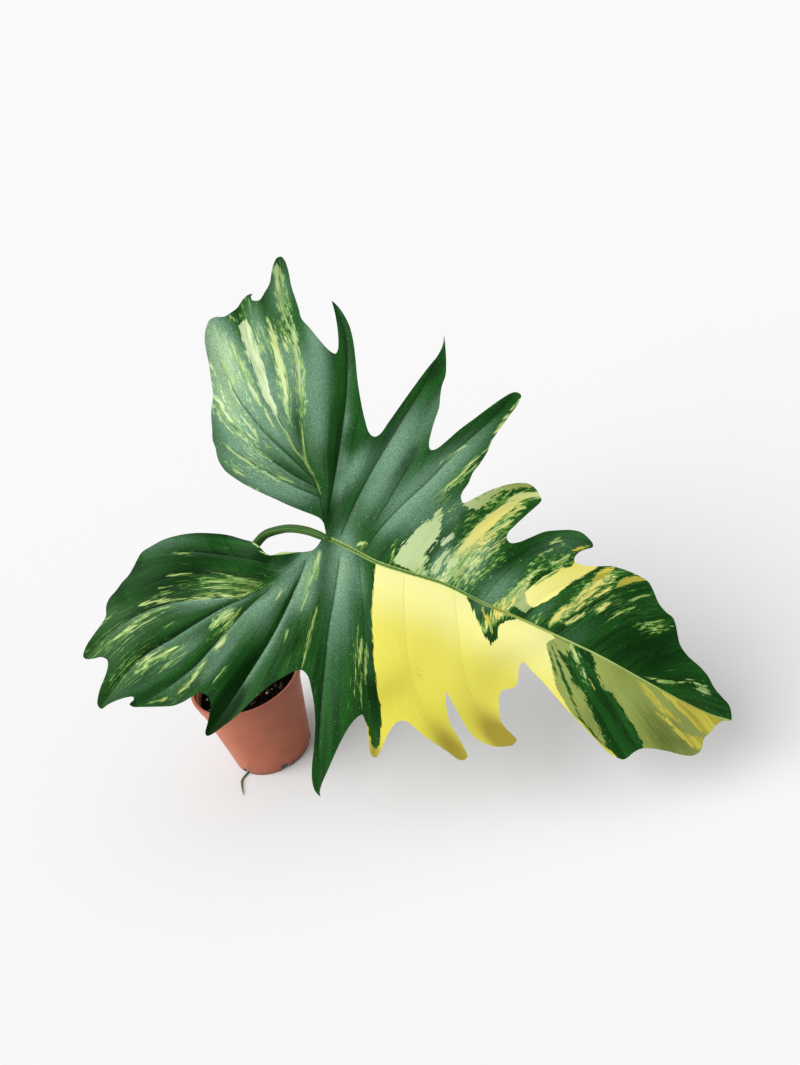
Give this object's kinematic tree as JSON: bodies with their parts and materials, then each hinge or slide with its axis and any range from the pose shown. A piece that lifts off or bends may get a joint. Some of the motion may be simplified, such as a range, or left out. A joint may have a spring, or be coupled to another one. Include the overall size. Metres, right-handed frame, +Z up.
{
  "type": "potted hybrid philodendron",
  "caption": "Potted philodendron: a large, deeply lobed, yellow-and-green variegated leaf on an arching stalk, standing in a small tapered nursery pot of dark potting mix.",
  "frame": {"origin": "middle of the pot's flat underside, on the surface that it stands on", "axes": "+Z up; +X to the right in the picture, the way the leaf points; the blade's face looks towards -Y and up"},
  "size_m": [0.4913, 0.3176, 0.4237],
  "materials": {
    "terracotta_plastic": "thin moulded nursery-pot plastic, terracotta brown, satin",
    "potting_mix": "damp, nearly black potting mix with cream perlite grains and bark chips",
    "green_bark": "fleshy ringed stem, green with brown scars and tan aerial roots",
    "leaf_sheath": "smooth pale green sheath of the next leaf",
    "leaf_stalk": "smooth green stalk with paler lengthwise stripes, semi-gloss",
    "variegated_blade": "leathery dark green blade, splashed butter yellow, lime and sage along the veins, semi-gloss above and matte below",
    "root": "thin dark green root"
  },
  "bodies": {
    "root": {"pot": "terracotta_plastic", "soil": "potting_mix", "stem": "green_bark", "growing_tip": "leaf_sheath", "petiole": "leaf_stalk", "leaf_blade": "variegated_blade", "drain_root": "root"}
  },
  "joints": []
}
